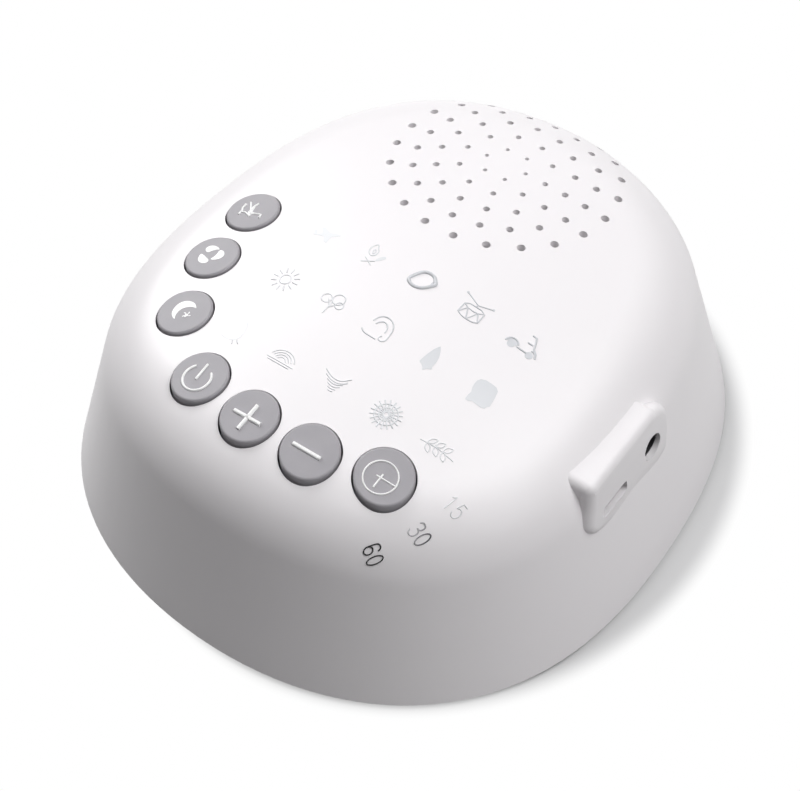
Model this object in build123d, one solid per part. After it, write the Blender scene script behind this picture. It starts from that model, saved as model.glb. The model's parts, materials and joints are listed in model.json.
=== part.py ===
# White noise sound machine: a low pebble of moulded plastic that stands on four rubber feet.
# A speaker plays through a field of holes at the back of the top, seven push-buttons follow
# the left and front edge, and a raised pad on the right carries an audio jack and a micro-USB
# socket. X points right, Y points back, Z points up; the feet stand on z = 0.
# Lengths are in millimetres and angles in degrees.

import os
from math import cos, radians, sin, sqrt, tan

from build123d import *

os.makedirs("parts", exist_ok=True)

# ---------------------------------------------------------------- outer form
# The plan is a rounded triangle: a circle with three gentle waves on it.
plan_mean_radius = 59.3
plan_long_wave = 3.04     # longer from front to back than across
plan_egg_wave = 0.6       # narrower at the back than at the front
plan_waist_wave = 1.3     # sides a little flatter than an ellipse
plan_points = 20
body_height = 39.7        # base rim to the middle of the dome
wall_lean = 18.2          # how far the side wall leans in from the vertical
lean_front_to_back = 0.7  # the back leans in more and the front less
dome_radius_across = 141.0
dome_radius_along = 317.0
dome_tilt = 2.1           # the dome faces slightly forwards
dome_reach = 71.0         # to either side of the middle, well past the body
dome_points = 13          # each way
dome_tolerance = 0.0001
edge_radius = 16.4        # the big rounding between wall and dome
wall = 2.2

# ---------------------------------------------------------------- base
cover_thickness = 2.4
cover_gap = 0.15
foot_radius = 5.0
foot_proud = 1.2
foot_recess = 0.8
foot_gap = 0.1
foot_places = {
    "rubber_foot_front_left": (-28.0, -39.0),
    "rubber_foot_front_right": (28.0, -39.0),
    "rubber_foot_back_left": (-29.0, 38.0),
    "rubber_foot_back_right": (29.0, 38.0),
}

# ---------------------------------------------------------------- screws and their posts
case_screw_radius = 1.3
case_screw_length = 9.0
case_head_radius = 2.5
case_head_height = 1.1
case_well_depth = 1.2
case_post_radius = 3.2
case_post_places = [(-39.0, -27.0), (39.0, -29.0), (-38.0, 22.0), (38.0, 22.0)]
board_screw_radius = 1.0
board_screw_length = 6.0
board_head_radius = 1.9
board_head_height = 1.3
board_post_radius = 2.5
board_post_places = [(-19.0, -1.0), (26.0, -1.0), (13.0, -26.0), (-11.0, -24.0)]
thread_gap = 0.05
screw_room = 0.5          # drilled deeper than the screw reaches
hole_gap = 0.2

# ---------------------------------------------------------------- push-buttons
cap_radius = 4.75
cap_gap = 0.3             # all round, between cap and opening
cap_proud = 0.5           # above the shell, measured square to it
cap_edge = 0.35
cap_wall = 1.3
cap_roof = 1.8
flange_radius = 5.4
flange_height = 1.0
flange_gap = 0.1
collar_wall = 0.8
collar_foot = 28.6        # height of the collars' lower faces above the base rim
stem_radius = 1.8
button_places = {
    "bird_button": (-30.6, -5.0),
    "fan_button": (-29.5, -17.1),
    "moon_button": (-25.0, -29.1),
    "power_button": (-13.5, -38.2),
    "volume_up_button": (-1.8, -39.8),
    "volume_down_button": (9.9, -39.4),
    "timer_button": (21.5, -36.0),
}

# ---------------------------------------------------------------- switches
switch_side = 6.0
switch_height = 3.5
plunger_radius = 1.75
plunger_gap = 0.1
plunger_proud = 1.5
plunger_buried = 1.0
button_travel = 0.5

# ---------------------------------------------------------------- circuit board
board_top = 20.6          # above the base rim
board_thickness = 1.6
board_clearance = 1.2     # between board edge and wall
board_to_speaker = 2.6    # from the board's straight back edge to the speaker's rim
timer_led_places = {
    "timer_led_15": (31.5, -32.0),
    "timer_led_30": (28.5, -37.5),
    "timer_led_60": (24.0, -42.0),
}
led_size = (1.6, 0.8, 0.7)
chip_places = {
    "sound_chip": ((2.0, -12.0), (10.0, 6.2, 1.6)),
    "amplifier_chip": ((14.0, -10.0), (5.0, 6.2, 1.6)),
    "charger_chip": ((31.0, -13.5), (3.0, 3.0, 1.0)),
    "memory_chip": ((-10.0, -12.0), (5.2, 5.2, 1.8)),
    "timing_crystal": ((2.0, -20.0), (7.0, 2.6, 2.4)),
}
capacitor_place = (22.0, -14.0)
capacitor_radius = 2.5
capacitor_height = 6.0
capacitor_rounding = 0.4

# ---------------------------------------------------------------- port pad and sockets
pad_face = 47.2           # outer face, measured from the middle
pad_front = -17.2
pad_back = 3.4
pad_top = 30.6
pad_bottom = 15.0
pad_depth = 12.0          # from the face to where the pad has met the wall
pad_rounding = 1.6
port_way = 12.0           # length of the cuts for jack and slot, half of it behind the face
jack_across = 1.4         # jack axis, measured from the body's middle
jack_opening_radius = 2.9
jack_nose_radius = 2.5
jack_nose_sunk = 2.0      # behind the pad's face
jack_nose_length = 2.6
jack_bore_radius = 1.8
jack_bore_depth = 12.0
jack_body = (13.0, 6.4, 5.0)
usb_across = -10.3
usb_shell = (5.6, 7.5, 2.7)
usb_sunk = 1.2
usb_sheet = 0.3
usb_gap = 0.25
usb_corner = 0.8
usb_tongue = (3.6, 3.8, 0.7)
usb_block_depth = 1.2

# ---------------------------------------------------------------- speaker
speaker_radius = 20.0
speaker_to_outline = 13.1 # from the speaker's rim to the body's outline at the back
speaker_seat = 24.5       # lower face of the speaker collar above the base rim
speaker_rim = 1.0
speaker_collar_wall = 1.8
speaker_depth = 14.5
speaker_sheet = 0.8
basket_rim_width = 2.2
basket_slope = 3.4        # the basket is narrower at its foot than at its mouth
basket_windows = 6
basket_window_width = 8.0
surround_roll_radius = 0.9
surround_sheet = 0.4
cone_sheet = 0.5
cone_neck_height = 2.4    # above the basket's floor
voice_radius = 6.5
voice_sheet = 0.6
voice_depth = 3.0         # how far the coil's tube reaches into the magnet
dust_cap_rise = 2.2
magnet_inset = 0.9        # inside the basket's foot
magnet_height = 6.0
magnet_back_plate = 2.0
magnet_gap = 0.6          # on either side of the coil's tube
cloth_thickness = 0.4
outer_ring_beyond = 0.68  # the outermost ring of holes stands outside the speaker's rim
ring_counts = [6, 10, 15, 20, 22]
ring_hole_diameters = [0.8, 1.05, 1.2, 1.3, 1.5]
speaker_post_radius = 2.3
speaker_post_gap = 0.4
speaker_washer_radius = 3.5
speaker_screw_radius = 1.0
speaker_screw_length = 4.0
speaker_head_radius = 1.9
speaker_head_height = 1.2
speaker_washer_height = 0.6
terminal_size = (9.0, 1.0, 5.0)

# ---------------------------------------------------------------- battery and leads
battery_size = (50.0, 33.0, 7.0)
battery_forward = 24.0    # in front of the body's middle
battery_gap = 0.3
tray_wall = 1.2
tray_height = 4.0
tray_corner = 9.0
lead_radius = 0.5
lead_spacing = 2.0
plug_size = (6.0, 5.0, 3.6)
speaker_plug_across = 7.0
battery_plug_across = -9.0
plug_to_board_back = 9.0  # from the back face of both plugs to the board's back edge
battery_lead_reach = 1.0  # how far the leads loop out behind the board
battery_lead_bend = 4.5
speaker_lead_straight = 2.0
speaker_lead_sag = 1.8
speaker_lead_bend = 2.2
solder_height = 0.6       # of the speaker leads above the terminal strip's lower edge

# ---------------------------------------------------------------- derived places
plan_front = plan_mean_radius + plan_long_wave - plan_egg_wave - plan_waist_wave
plan_back = plan_mean_radius + plan_long_wave + plan_egg_wave - plan_waist_wave
middle_y = (plan_front - plan_back) / 2
base_z = foot_proud
board_bottom = board_top - board_thickness
switch_top = board_top + switch_height
plunger_top = switch_top + plunger_proud
flange_top = collar_foot - flange_gap
flange_foot = flange_top - flange_height
opening_radius = cap_radius + cap_gap
jack_height = board_top + jack_body[2] / 2
usb_height = board_top + usb_shell[2] / 2
speaker_back = plan_back - speaker_to_outline - speaker_radius
speaker_front = speaker_back - speaker_radius
board_back = speaker_front - board_to_speaker
plug_back = board_back - plug_to_board_back
ring_pitch = (speaker_radius + outer_ring_beyond) / len(ring_counts)
basket_mouth_radius = speaker_radius - basket_rim_width
basket_foot_radius = basket_mouth_radius - basket_slope
magnet_radius = basket_foot_radius - magnet_inset
frame_top = speaker_seat - cloth_thickness
basket_floor = frame_top - speaker_depth + magnet_height
rim_foot = frame_top - speaker_rim
cone_radius = basket_mouth_radius - 2 * surround_roll_radius
cone_neck = basket_floor + cone_neck_height
jack_body_face = pad_face - jack_nose_sunk - jack_nose_length
usb_mouth = pad_face - usb_sunk
lead_height = board_bottom - plug_size[2] / 2 - lead_radius


def plan_radius(angle):
    """Radius of the plan at an angle measured from the back, round towards the right."""
    waves = plan_long_wave * cos(2 * angle) + plan_egg_wave * cos(3 * angle)
    return plan_mean_radius + waves - plan_waist_wave * cos(4 * angle)


def place(x, y, z):
    """A place measured from the body's middle and its base rim."""
    return Pos(x, middle_y + y, base_z + z)


def rod(x, y, low, high, radius):
    """An upright cylinder between two heights."""
    return place(x, y, (low + high) / 2) * Cylinder(radius, high - low)


def lying_rod(x_low, x_high, y, z, radius):
    """A cylinder that lies along X."""
    return place((x_low + x_high) / 2, y, z) * Rot(0, 90, 0) * Cylinder(radius, x_high - x_low)


def block(x, y, low, size):
    """A box that stands on a height, centred on a place in plan."""
    return place(x, y, low + size[2] / 2) * Box(*size)


def one_solid(shape):
    """The shape as a single solid."""
    return shape.solids()[0]


def plan_curve(height, inset):
    """The body's outline at a height, moved inwards by a wall's thickness."""
    points = []
    for step in range(plan_points):
        angle = radians(360 * step / plan_points)
        lean = radians(wall_lean + lean_front_to_back * cos(angle))
        radius = plan_radius(angle) - height * tan(lean) - inset / cos(lean)
        points.append(Vector(radius * sin(angle), middle_y + radius * cos(angle), base_z + height))
    return Wire([Edge.make_spline(points, periodic=True)])


def leaning_block(low, high, inset):
    """What the leaning side wall encloses between two heights."""
    return Solid.make_loft([plan_curve(low, inset), plan_curve(high, inset)], ruled=True)


def dome_height(x, y, inset):
    """How high the dome is above its middle: an arc across the body, swept along a flatter arc."""
    rise = sqrt((dome_radius_across - inset) ** 2 - x ** 2) - dome_radius_across
    return sqrt((dome_radius_along + rise) ** 2 - y ** 2) - dome_radius_along


def under_dome(inset):
    """Everything under the dome, or under the same dome sunk by a wall's thickness."""
    steps = [dome_reach * (2 * step / (dome_points - 1) - 1) for step in range(dome_points)]
    rows = [[Vector(x, y, dome_height(x, y, inset)) for y in steps] for x in steps]
    dome = Face.make_surface_from_array_of_points(rows, tol=dome_tolerance, min_deg=3, max_deg=5)
    filled = extrude(dome, 2 * body_height, dir=(0, 0, -1))
    return place(0, 0, body_height) * Rot(dome_tilt, 0, 0) * filled


def pebble(inset, low=0.0):
    """The outer form, or the same form shrunk by a wall's thickness."""
    side = leaning_block(low, body_height + wall, inset)
    body = one_solid(side & under_dome(inset))
    top_edges = [edge for edge in body.edges() if edge.bounding_box().min.Z > base_z + body_height / 2]
    return body.fillet(edge_radius - inset, top_edges)


outer_form = pebble(0)
cavity = pebble(wall, low=-wall)


def surface_at(x, y):
    """The point and outward direction of the shell's surface above a place in plan."""
    upright = Axis((x, middle_y + y, 0), (0, 0, 1))
    hits = outer_form.find_intersection_points(upright)
    return max(hits, key=lambda hit: hit[0].Z)


def speaker_ring_places(ring):
    """The hole centres of one ring of the speaker field."""
    count = ring_counts[ring]
    radius = ring_pitch * (ring + 1)
    angles = [radians(360 * step / count) for step in range(count)]
    return [(radius * cos(angle), speaker_back + radius * sin(angle)) for angle in angles]


def speaker_post_places():
    """Four posts set on the diagonals, just outside the speaker's rim."""
    reach = (speaker_radius + speaker_post_gap + speaker_post_radius) * cos(radians(45))
    return [(side_x * reach, speaker_back + side_y * reach) for side_x in (-1, 1) for side_y in (-1, 1)]


def port_pad():
    """The raised pad on the right wall, with its outer edges rounded."""
    size = (pad_depth, pad_back - pad_front, pad_top - pad_bottom)
    solid = one_solid(block(pad_face - pad_depth / 2, (pad_front + pad_back) / 2, pad_bottom, size))
    face = solid.faces().sort_by(Axis.X)[-1]
    top = solid.faces().sort_by(Axis.Z)[-1]
    low = base_z + pad_bottom + pad_rounding
    upper = [edge for edge in face.edges() if edge.bounding_box().max.Z > low]
    ends = [edge for edge in top.edges() if abs(edge.tangent_at(0.5).X) > 0.9]
    return solid.fillet(pad_rounding, upper + ends)


def usb_outline(size_y, size_z, corner):
    """A rounded slot in the plane of the pad's face."""
    frame = Plane(origin=(0, middle_y + usb_across, base_z + usb_height), x_dir=(0, 1, 0), z_dir=(1, 0, 0))
    return frame * RectangleRounded(size_y, size_z, corner)


def interior_features():
    """What stands down from the roof inside: button collars, screw posts and the speaker collar."""
    collar_radius = opening_radius + collar_wall
    features = [rod(x, y, collar_foot, body_height, collar_radius) for x, y in button_places.values()]
    features += [rod(x, y, cover_thickness, body_height, case_post_radius) for x, y in case_post_places]
    features += [rod(x, y, board_top, body_height, board_post_radius) for x, y in board_post_places]
    features += [rod(x, y, rim_foot, body_height, speaker_post_radius) for x, y in speaker_post_places()]
    half_wall = speaker_collar_wall / 2
    outside = rod(0, speaker_back, speaker_seat, body_height, speaker_radius + half_wall)
    inside = rod(0, speaker_back, speaker_seat - 1, body_height + 1, speaker_radius - half_wall)
    return features[0].fuse(*features[1:], outside - inside)


def shell_cuts():
    """Every hole that is drilled upright through the upper housing or into its posts."""
    high = body_height + wall
    cuts = [rod(x, y, 0, high, opening_radius) for x, y in button_places.values()]
    for ring, diameter in enumerate(ring_hole_diameters):
        cuts += [rod(x, y, speaker_seat, high, diameter / 2) for x, y in speaker_ring_places(ring)]
    screw_sets = [
        (case_post_places, case_screw_radius, case_well_depth + case_screw_length + screw_room),
        (board_post_places, board_screw_radius, board_bottom + board_screw_length + screw_room),
        (speaker_post_places(), speaker_screw_radius, rim_foot + speaker_screw_length + screw_room),
    ]
    for places, radius, top in screw_sets:
        cuts += [rod(x, y, 0, top, radius + thread_gap) for x, y in places]
    return cuts


def port_openings():
    """The round way in to the audio jack and the slot for the micro-USB plug."""
    inner, outer = pad_face - port_way / 2, pad_face + port_way / 2
    slot = usb_outline(usb_shell[1] + 2 * usb_gap, usb_shell[2] + 2 * usb_gap, usb_corner + usb_gap)
    return [
        lying_rod(inner, outer, jack_across, jack_height, jack_opening_radius),
        Pos(inner, 0, 0) * extrude(slot, port_way, dir=(1, 0, 0)),
    ]


def top_shell():
    """The upper housing with its openings, collars, pad and posts."""
    hollow = cavity - interior_features()
    shell = (outer_form + port_pad()) - hollow
    return shell.cut(*shell_cuts(), *port_openings())


def bottom_cover():
    """The plate that closes the base, with foot recesses, screw wells and a battery tray."""
    plate = leaning_block(0, cover_thickness, wall + cover_gap)
    length, width = battery_size[0] + 2 * battery_gap, battery_size[1] + 2 * battery_gap
    tray_size = (length + 2 * tray_wall, width + 2 * tray_wall, tray_height)
    tray = block(0, -battery_forward, cover_thickness, tray_size)
    tray -= block(0, -battery_forward, cover_thickness, (length, width, tray_height))
    tray -= block(0, -battery_forward, cover_thickness, (length - 2 * tray_corner, 2 * width, tray_height))
    tray -= block(0, -battery_forward, cover_thickness, (2 * length, width - 2 * tray_corner, tray_height))
    cuts = [rod(x, y, -1, foot_recess, foot_radius + foot_gap) for x, y in foot_places.values()]
    for x, y in case_post_places:
        cuts.append(rod(x, y, -1, case_well_depth, case_head_radius + hole_gap))
        cuts.append(rod(x, y, 0, cover_thickness + 1, case_screw_radius + hole_gap))
    return plate.fuse(*tray.solids()).cut(*cuts)


def rubber_foot(x, y):
    """A round foot, pressed into its recess, with its lower edge rounded."""
    foot = one_solid(rod(x, y, -foot_proud, foot_recess, foot_radius))
    return foot.fillet(foot_proud / 2, [foot.edges().sort_by(Axis.Z)[0]])


def screws(places, seat, head_radius, head_height, radius, length):
    """Pan-head screws driven upwards, with their heads under a seat."""
    made = []
    for x, y in places:
        head = rod(x, y, seat - head_height, seat, head_radius)
        made.append(one_solid(head + rod(x, y, seat, seat + length, radius)))
    return Compound(children=made)


def speaker_screws():
    """Screws with wide washers under their heads, which hold the speaker's rim to its collar."""
    head_seat = rim_foot - speaker_washer_height
    made = []
    for x, y in speaker_post_places():
        screw = rod(x, y, head_seat - speaker_head_height, head_seat, speaker_head_radius)
        screw += rod(x, y, head_seat, rim_foot, speaker_washer_radius)
        screw += rod(x, y, rim_foot, rim_foot + speaker_screw_length, speaker_screw_radius)
        made.append(one_solid(screw))
    return Compound(children=made)


def button_cap(x, y):
    """A hollow cap whose face follows the shell, with a stop flange and a stem for its switch."""
    point, outward = surface_at(x, y)
    face_middle = point + outward * cap_proud
    face = Plane(origin=face_middle, z_dir=outward)
    fall = cap_radius * tan(radians(outward.get_angle(Vector(0, 0, 1))))
    ceiling = face_middle.Z - base_z - fall - cap_roof
    cap = one_solid(rod(x, y, flange_foot, body_height + wall + cap_proud, cap_radius))
    cap = one_solid(cap.split(face, keep=Keep.BOTTOM))
    rim = cap.edges().sort_by(Axis.Z)[-1]
    cap = cap.fillet(cap_edge, [rim])
    cap = cap + rod(x, y, flange_foot, flange_top, flange_radius)
    cap = cap - rod(x, y, flange_foot, ceiling, cap_radius - cap_wall)
    return cap + rod(x, y, plunger_top, ceiling, stem_radius)


def switch_body(x, y):
    """The square case of a push switch, with the well its plunger slides in."""
    well_depth = plunger_buried + button_travel + plunger_gap
    well = rod(x, y, switch_top - well_depth, switch_top, plunger_radius + plunger_gap)
    return block(x, y, board_top, (switch_side, switch_side, switch_height)) - well


def switch_plunger(x, y):
    """The plunger of a push switch, standing above its case."""
    return rod(x, y, switch_top - plunger_buried, plunger_top, plunger_radius)


def main_board():
    """The circuit board, which follows the wall and stops short of the speaker."""
    outline = Face(plan_curve(board_top, wall + board_clearance))
    board = extrude(outline, board_thickness, dir=(0, 0, -1))
    reach = 2 * plan_mean_radius
    board -= block(0, board_back + reach / 2, board_bottom - 1, (2 * reach, reach, board_thickness + 2))
    cuts = []
    for x, y in board_post_places:
        cuts.append(rod(x, y, board_bottom - 1, board_top + 1, board_screw_radius + hole_gap))
    for x, y in case_post_places:
        cuts.append(rod(x, y, board_bottom - 1, board_top + 1, case_post_radius + 2 * hole_gap))
    return board.cut(*cuts)


def smoothing_capacitor():
    """An upright round capacitor."""
    x, y = capacitor_place
    can = one_solid(rod(x, y, board_top, board_top + capacitor_height, capacitor_radius))
    return can.fillet(capacitor_rounding, [can.edges().sort_by(Axis.Z)[-1]])


def audio_jack():
    """The headphone socket: a body on the board, a round nose and a blind bore."""
    length, width, height = jack_body
    nose_end = jack_body_face + jack_nose_length
    body = block(jack_body_face - length / 2, jack_across, board_top, jack_body)
    body += lying_rod(jack_body_face, nose_end, jack_across, jack_height, jack_nose_radius)
    bore_end = nose_end - jack_bore_depth
    return body - lying_rod(bore_end, nose_end + 1, jack_across, jack_height, jack_bore_radius)


def usb_socket_shell():
    """The folded sheet shell of the micro-USB socket, open towards the right."""
    depth, width, height = usb_shell
    outside = extrude(usb_outline(width, height, usb_corner), depth, dir=(-1, 0, 0))
    inner = usb_outline(width - 2 * usb_sheet, height - 2 * usb_sheet, usb_corner - usb_sheet)
    return Pos(usb_mouth, 0, 0) * (outside - extrude(inner, depth, dir=(-1, 0, 0)))


def usb_socket_tongue():
    """The plastic block at the back of the socket and the tongue that stands out of it."""
    depth, width, height = usb_shell
    inner = usb_outline(width - 2 * usb_sheet, height - 2 * usb_sheet, usb_corner - usb_sheet)
    back = usb_mouth - depth
    rear = Pos(back + usb_block_depth, 0, 0) * extrude(inner, usb_block_depth, dir=(-1, 0, 0))
    tongue = place(back + usb_block_depth + usb_tongue[0] / 2, usb_across, usb_height) * Box(*usb_tongue)
    return rear + tongue


def turned(points):
    """A ring turned about the speaker's axis from radius and height points."""
    frame = Plane(origin=(0, middle_y + speaker_back, base_z), x_dir=(1, 0, 0), z_dir=(0, -1, 0))
    return one_solid(revolve(frame * Face(Wire.make_polygon([(r, z) for r, z in points])), frame_axis()))


def frame_axis():
    """The speaker's axis."""
    return Axis((0, middle_y + speaker_back, 0), (0, 0, 1))


def speaker_basket():
    """The pressed frame of the speaker, with windows in its sloping side."""
    floor, sheet = basket_floor, speaker_sheet
    inner_radius = voice_radius + magnet_gap
    basket = turned([
        (inner_radius, floor), (basket_foot_radius, floor), (basket_mouth_radius + sheet, rim_foot),
        (speaker_radius, rim_foot), (speaker_radius, frame_top), (basket_mouth_radius, frame_top),
        (basket_mouth_radius, rim_foot), (basket_foot_radius - sheet / 2, floor + sheet),
        (inner_radius, floor + sheet),
    ])
    low, high = floor + 2 * sheet, rim_foot - sheet
    size = (speaker_radius, basket_window_width, high - low)
    middle_radius = basket_foot_radius + size[0] / 2 - 2 * sheet
    for step in range(basket_windows):
        angle = 360 * (step + 0.5) / basket_windows
        window = Pos(middle_radius, 0, 0) * Box(*size)
        basket -= place(0, speaker_back, (low + high) / 2) * Rot(0, 0, angle) * window
    return one_solid(basket)


def speaker_cone():
    """The thin paper cone."""
    return turned([
        (voice_radius, cone_neck), (cone_radius, rim_foot), (cone_radius, rim_foot + cone_sheet),
        (voice_radius, cone_neck + cone_sheet),
    ])


def speaker_surround():
    """The half-round rubber roll between cone and frame."""
    middle = cone_radius + surround_roll_radius
    frame = Plane(origin=(0, middle_y + speaker_back, base_z), x_dir=(1, 0, 0), z_dir=(0, -1, 0))
    ring = Circle(surround_roll_radius) - Circle(surround_roll_radius - surround_sheet)
    upper = Pos(0, surround_roll_radius, 0) * Rectangle(2 * surround_roll_radius, 2 * surround_roll_radius)
    return revolve(frame * (Pos(middle, rim_foot, 0) * (ring & upper)), frame_axis())


def speaker_dust_cap():
    """The shallow dome that closes the middle of the cone and sits on the coil's tube."""
    ball_radius = (voice_radius ** 2 + dust_cap_rise ** 2) / (2 * dust_cap_rise)
    foot = cone_neck + cone_sheet
    centre = place(0, speaker_back, foot + dust_cap_rise - ball_radius)
    dome = rod(0, speaker_back, foot, foot + 2 * dust_cap_rise, voice_radius) & centre * Sphere(ball_radius)
    return one_solid(dome - centre * Sphere(ball_radius - cone_sheet))


def voice_coil():
    """The tube that joins the cone's neck to the magnet's gap."""
    low, high = basket_floor - voice_depth, cone_neck + cone_sheet
    outside = rod(0, speaker_back, low, high, voice_radius)
    return outside - rod(0, speaker_back, low, high, voice_radius - voice_sheet)


def speaker_magnet():
    """Back plate, centre pole and ring magnet as one unit."""
    low = basket_floor - magnet_height
    unit = rod(0, speaker_back, low, basket_floor, magnet_radius)
    gap_floor = low + magnet_back_plate
    gap = rod(0, speaker_back, gap_floor, basket_floor, voice_radius + magnet_gap)
    gap -= rod(0, speaker_back, gap_floor, basket_floor, voice_radius - voice_sheet - magnet_gap)
    return unit - gap


def lead(points, radius, bend):
    """A round lead along straight runs joined by tangent arcs."""
    corners = [place(*point).position for point in points]
    path = FilletPolyline(*corners, radius=bend)
    start = Plane(origin=path @ 0, z_dir=path % 0)
    return sweep(start * Circle(radius), path=path)


def battery_lead(side):
    """One battery lead: back from the cell, up and forward again into its plug."""
    x = battery_plug_across + side * lead_spacing / 2
    low = cover_thickness + battery_size[2] / 2
    start = battery_size[1] / 2 - battery_forward
    loop = board_back + battery_lead_reach
    points = [(x, start, low), (x, loop, low), (x, loop, lead_height), (x, plug_back, lead_height)]
    return lead(points, lead_radius, battery_lead_bend)


def speaker_lead(side):
    """One speaker lead: a slack run from its plug to the terminal strip."""
    x = speaker_plug_across + side * lead_spacing / 2
    end = speaker_front
    high = rim_foot - terminal_size[2] + solder_height
    points = [
        (x, plug_back, lead_height), (x, plug_back + speaker_lead_straight, lead_height),
        (x, (plug_back + end) / 2, lead_height - speaker_lead_sag),
        (x, end - speaker_lead_straight, high), (x, end, high),
    ]
    return lead(points, lead_radius, speaker_lead_bend)


def plug(across):
    """A two-way plug under the board, open towards the back."""
    return block(across, plug_back - plug_size[1] / 2, board_bottom - plug_size[2], plug_size)


def terminal_strip():
    """The speaker's solder strip, which hangs from the front of its rim."""
    y = speaker_front + terminal_size[1] / 2
    return block(speaker_plug_across / 2, y, rim_foot - terminal_size[2], terminal_size)


def export(name, shape):
    """Write one piece, and say how many solids it holds."""
    solids = shape.solids()
    export_step(shape, f"parts/{name}.step")
    print(name, len(solids), "solid(s)", round(sum(solid.volume for solid in solids), 1))


export("top_shell", top_shell())
export("bottom_cover", bottom_cover())
for name, (x, y) in foot_places.items():
    export(name, rubber_foot(x, y))
for name, (x, y) in button_places.items():
    switch_name = name.replace("button", "switch")
    export(name, button_cap(x, y))
    export(f"{switch_name}_body", switch_body(x, y))
    export(f"{switch_name}_plunger", switch_plunger(x, y))

export("main_board", main_board())
for name, ((x, y), size) in chip_places.items():
    export(name, block(x, y, board_top, size))
for name, (x, y) in timer_led_places.items():
    export(name, block(x, y, board_top, led_size))
export("smoothing_capacitor", smoothing_capacitor())
export("audio_jack", audio_jack())
export("usb_socket_shell", usb_socket_shell())
export("usb_socket_tongue", usb_socket_tongue())
export("speaker_plug", plug(speaker_plug_across))
export("battery_plug", plug(battery_plug_across))

export("case_screws", screws(
    case_post_places, case_well_depth, case_head_radius, case_head_height,
    case_screw_radius, case_screw_length,
))
export("board_screws", screws(
    board_post_places, board_bottom, board_head_radius, board_head_height,
    board_screw_radius, board_screw_length,
))
export("speaker_screws", speaker_screws())

export("speaker_basket", speaker_basket())
export("speaker_magnet", speaker_magnet())
export("speaker_cone", speaker_cone())
export("speaker_surround", speaker_surround())
export("speaker_dust_cap", speaker_dust_cap())
export("voice_coil", voice_coil())
export("speaker_cloth", rod(0, speaker_back, frame_top, speaker_seat, speaker_radius))
export("speaker_terminal", terminal_strip())
export("battery_cell", block(0, -battery_forward, cover_thickness, battery_size))
export("battery_lead_red", battery_lead(-1))
export("battery_lead_black", battery_lead(1))
export("speaker_lead_red", speaker_lead(-1))
export("speaker_lead_black", speaker_lead(1))
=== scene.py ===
import json
import math

import bpy
from mathutils import Matrix, Vector
from mathutils.bvhtree import BVHTree

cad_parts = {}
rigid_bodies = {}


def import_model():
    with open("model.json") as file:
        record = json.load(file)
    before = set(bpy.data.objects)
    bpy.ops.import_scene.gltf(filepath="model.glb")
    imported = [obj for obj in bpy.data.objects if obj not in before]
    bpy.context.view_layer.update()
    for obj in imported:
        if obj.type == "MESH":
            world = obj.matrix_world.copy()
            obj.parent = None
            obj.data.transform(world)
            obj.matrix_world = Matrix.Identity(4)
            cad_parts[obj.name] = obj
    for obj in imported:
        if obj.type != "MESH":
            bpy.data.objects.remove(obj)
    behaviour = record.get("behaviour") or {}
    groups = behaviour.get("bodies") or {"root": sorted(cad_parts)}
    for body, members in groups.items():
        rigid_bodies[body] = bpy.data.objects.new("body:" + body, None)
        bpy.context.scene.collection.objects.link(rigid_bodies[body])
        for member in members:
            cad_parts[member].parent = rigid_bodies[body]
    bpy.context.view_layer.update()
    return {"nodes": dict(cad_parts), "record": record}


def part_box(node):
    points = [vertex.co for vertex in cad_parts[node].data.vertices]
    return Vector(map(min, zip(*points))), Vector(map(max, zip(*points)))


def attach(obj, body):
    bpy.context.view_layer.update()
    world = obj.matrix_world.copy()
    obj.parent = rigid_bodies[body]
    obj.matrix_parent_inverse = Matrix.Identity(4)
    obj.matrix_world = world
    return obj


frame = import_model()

mm = 0.001
nodes = frame["nodes"]


# shader values as plain sums: Link wraps one socket, Finish builds one material

class Link:
    def __init__(self, finish, socket):
        self.finish = finish
        self.socket = socket

    def maths(self, operation, first, second):
        return self.finish.add("Math", {"operation": operation}, {0: first, 1: second})

    def __add__(self, other):
        return self.maths("ADD", self, other)

    def __sub__(self, other):
        return self.maths("SUBTRACT", self, other)

    def __rsub__(self, other):
        return self.maths("SUBTRACT", other, self)

    def __mul__(self, other):
        return self.maths("MULTIPLY", self, other)

    def __truediv__(self, other):
        return self.maths("DIVIDE", self, other)

    def __pow__(self, other):
        return self.maths("POWER", self, other)


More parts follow.
